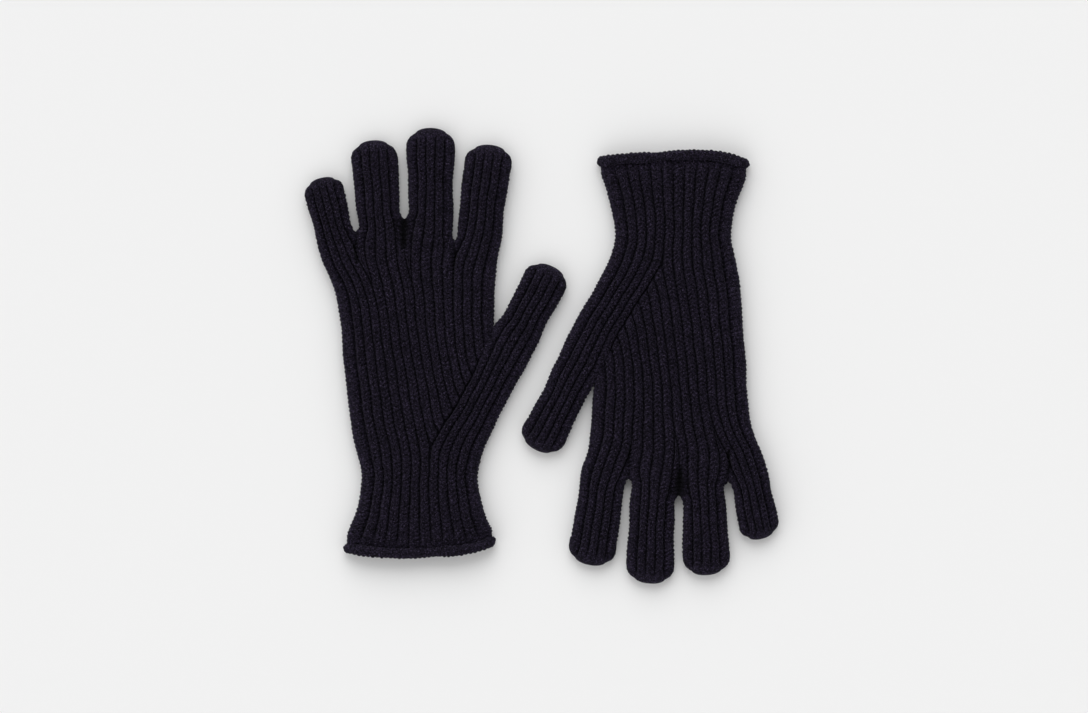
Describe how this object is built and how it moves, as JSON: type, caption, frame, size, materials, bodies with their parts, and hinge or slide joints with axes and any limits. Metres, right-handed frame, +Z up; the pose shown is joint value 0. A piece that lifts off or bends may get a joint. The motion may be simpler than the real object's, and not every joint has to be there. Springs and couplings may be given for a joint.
{
  "type": "pair of knitted gloves",
  "caption": "Pair of full-finger rib-knit gloves with rolled edges and gusseted thumbs, lying flat; every finger, thumb and wrist folds.",
  "frame": {"origin": "on the surface the gloves lie on, below the middle of the pair's box", "axes": "+Z up; +Y from the left glove's cuff to its fingertips; +X from the left glove to the right glove"},
  "size_m": [0.284, 0.2726, 0.011],
  "materials": {
    "wool_rib": "soft ribbed wool knit, very dark navy",
    "wool_rolled_edge": "rolled plain wool knit, very dark navy"
  },
  "bodies": {
    "left_hand": {"left_hand": "wool_rib", "left_thumb_gusset": "wool_rib"},
    "left_cuff": {"left_hem": "wool_rolled_edge", "left_cuff": "wool_rib"},
    "left_thumb_base": {"left_thumb_base": "wool_rib"},
    "left_thumb_tip": {"left_thumb_tip": "wool_rib"},
    "left_index_base": {"left_index_base": "wool_rib"},
    "left_index_tip": {"left_index_tip": "wool_rib"},
    "left_middle_base": {"left_middle_base": "wool_rib"},
    "left_middle_tip": {"left_middle_tip": "wool_rib"},
    "left_ring_base": {"left_ring_base": "wool_rib"},
    "left_ring_tip": {"left_ring_tip": "wool_rib"},
    "left_little_base": {"left_little_base": "wool_rib"},
    "left_little_tip": {"left_little_tip": "wool_rib"},
    "right_hand": {"right_hand": "wool_rib", "right_thumb_gusset": "wool_rib"},
    "right_cuff": {"right_hem": "wool_rolled_edge", "right_cuff": "wool_rib"},
    "right_thumb_base": {"right_thumb_base": "wool_rib"},
    "right_thumb_tip": {"right_thumb_tip": "wool_rib"},
    "right_index_base": {"right_index_base": "wool_rib"},
    "right_index_tip": {"right_index_tip": "wool_rib"},
    "right_middle_base": {"right_middle_base": "wool_rib"},
    "right_middle_tip": {"right_middle_tip": "wool_rib"},
    "right_ring_base": {"right_ring_base": "wool_rib"},
    "right_ring_tip": {"right_ring_tip": "wool_rib"},
    "right_little_base": {"right_little_base": "wool_rib"},
    "right_little_tip": {"right_little_tip": "wool_rib"}
  },
  "joints": [
    {"name": "left_wrist_fold", "type": "hinge", "parent": "left_hand", "child": "left_cuff", "pos_m": [-0.07294, -0.07169, 0.011], "axis": [-1, 0, 0], "range_deg": [0, 80]},
    {"name": "left_thumb_knuckle_fold", "type": "hinge", "parent": "left_hand", "child": "left_thumb_base", "pos_m": [-0.01634, 0.0109, 0.011], "axis": [0.891, -0.454, 0], "range_deg": [0, 60]},
    {"name": "left_thumb_middle_fold", "type": "hinge", "parent": "left_thumb_base", "child": "left_thumb_tip", "pos_m": [-0.00534, 0.03251, 0.011], "axis": [0.891, -0.454, 0], "range_deg": [0, 80]},
    {"name": "left_index_knuckle_fold", "type": "hinge", "parent": "left_hand", "child": "left_index_base", "pos_m": [-0.03814, 0.06781, 0.011], "axis": [1, 0, 0], "range_deg": [0, 90]},
    {"name": "left_index_middle_fold", "type": "hinge", "parent": "left_index_base", "child": "left_index_tip", "pos_m": [-0.03448, 0.09564, 0.011], "axis": [1, 0, 0], "range_deg": [0, 100]},
    {"name": "left_middle_knuckle_fold", "type": "hinge", "parent": "left_hand", "child": "left_middle_base", "pos_m": [-0.06624, 0.0783, 0.011], "axis": [1, 0, 0], "range_deg": [0, 90]},
    {"name": "left_middle_middle_fold", "type": "hinge", "parent": "left_middle_base", "child": "left_middle_tip", "pos_m": [-0.066, 0.10614, 0.011], "axis": [1, 0, 0], "range_deg": [0, 100]},
    {"name": "left_ring_knuckle_fold", "type": "hinge", "parent": "left_hand", "child": "left_ring_base", "pos_m": [-0.09674, 0.0763, 0.011], "axis": [1, 0, 0], "range_deg": [0, 90]},
    {"name": "left_ring_middle_fold", "type": "hinge", "parent": "left_ring_base", "child": "left_ring_tip", "pos_m": [-0.09872, 0.10143, 0.011], "axis": [1, 0, 0], "range_deg": [0, 100]},
    {"name": "left_little_knuckle_fold", "type": "hinge", "parent": "left_hand", "child": "left_little_base", "pos_m": [-0.12365, 0.06831, 0.011], "axis": [1, 0, 0], "range_deg": [0, 90]},
    {"name": "left_little_middle_fold", "type": "hinge", "parent": "left_little_base", "child": "left_little_tip", "pos_m": [-0.12812, 0.08624, 0.011], "axis": [1, 0, 0], "range_deg": [0, 100]},
    {"name": "right_wrist_fold", "type": "hinge", "parent": "right_hand", "child": "right_cuff", "pos_m": [0.07906, 0.0713, 0.011], "axis": [1, 0, 0], "range_deg": [0, 80]},
    {"name": "right_thumb_knuckle_fold", "type": "hinge", "parent": "right_hand", "child": "right_thumb_base", "pos_m": [0.01947, -0.00917, 0.011], "axis": [-0.8738, 0.4863, 0], "range_deg": [0, 60]},
    {"name": "right_thumb_middle_fold", "type": "hinge", "parent": "right_thumb_base", "child": "right_thumb_tip", "pos_m": [0.00767, -0.03036, 0.011], "axis": [-0.8738, 0.4863, 0], "range_deg": [0, 80]},
    {"name": "right_index_knuckle_fold", "type": "hinge", "parent": "right_hand", "child": "right_index_base", "pos_m": [0.03917, -0.06683, 0.011], "axis": [-0.9993, 0.0366, 0], "range_deg": [0, 90]},
    {"name": "right_index_middle_fold", "type": "hinge", "parent": "right_index_base", "child": "right_index_tip", "pos_m": [0.03448, -0.09451, 0.011], "axis": [-0.9993, 0.0366, 0], "range_deg": [0, 100]},
    {"name": "right_middle_knuckle_fold", "type": "hinge", "parent": "right_hand", "child": "right_middle_base", "pos_m": [0.06686, -0.07835, 0.011], "axis": [-0.9993, 0.0366, 0], "range_deg": [0, 90]},
    {"name": "right_middle_middle_fold", "type": "hinge", "parent": "right_middle_base", "child": "right_middle_tip", "pos_m": [0.0656, -0.10616, 0.011], "axis": [-0.9993, 0.0366, 0], "range_deg": [0, 100]},
    {"name": "right_ring_knuckle_fold", "type": "hinge", "parent": "right_hand", "child": "right_ring_base", "pos_m": [0.09742, -0.07747, 0.011], "axis": [-0.9993, 0.0366, 0], "range_deg": [0, 90]},
    {"name": "right_ring_middle_fold", "type": "hinge", "parent": "right_ring_base", "child": "right_ring_tip", "pos_m": [0.09847, -0.10265, 0.011], "axis": [-0.9993, 0.0366, 0], "range_deg": [0, 100]},
    {"name": "right_little_knuckle_fold", "type": "hinge", "parent": "right_hand", "child": "right_little_base", "pos_m": [0.12459, -0.07046, 0.011], "axis": [-0.9993, 0.0366, 0], "range_deg": [0, 90]},
    {"name": "right_little_middle_fold", "type": "hinge", "parent": "right_little_base", "child": "right_little_tip", "pos_m": [0.1284, -0.08854, 0.011], "axis": [-0.9993, 0.0366, 0], "range_deg": [0, 100]},
    {"name": "right_glove_lift", "type": "slide", "parent": "left_hand", "child": "right_hand", "axis": [0, 0, 1], "range_m": [0, 0.15]}
  ]
}
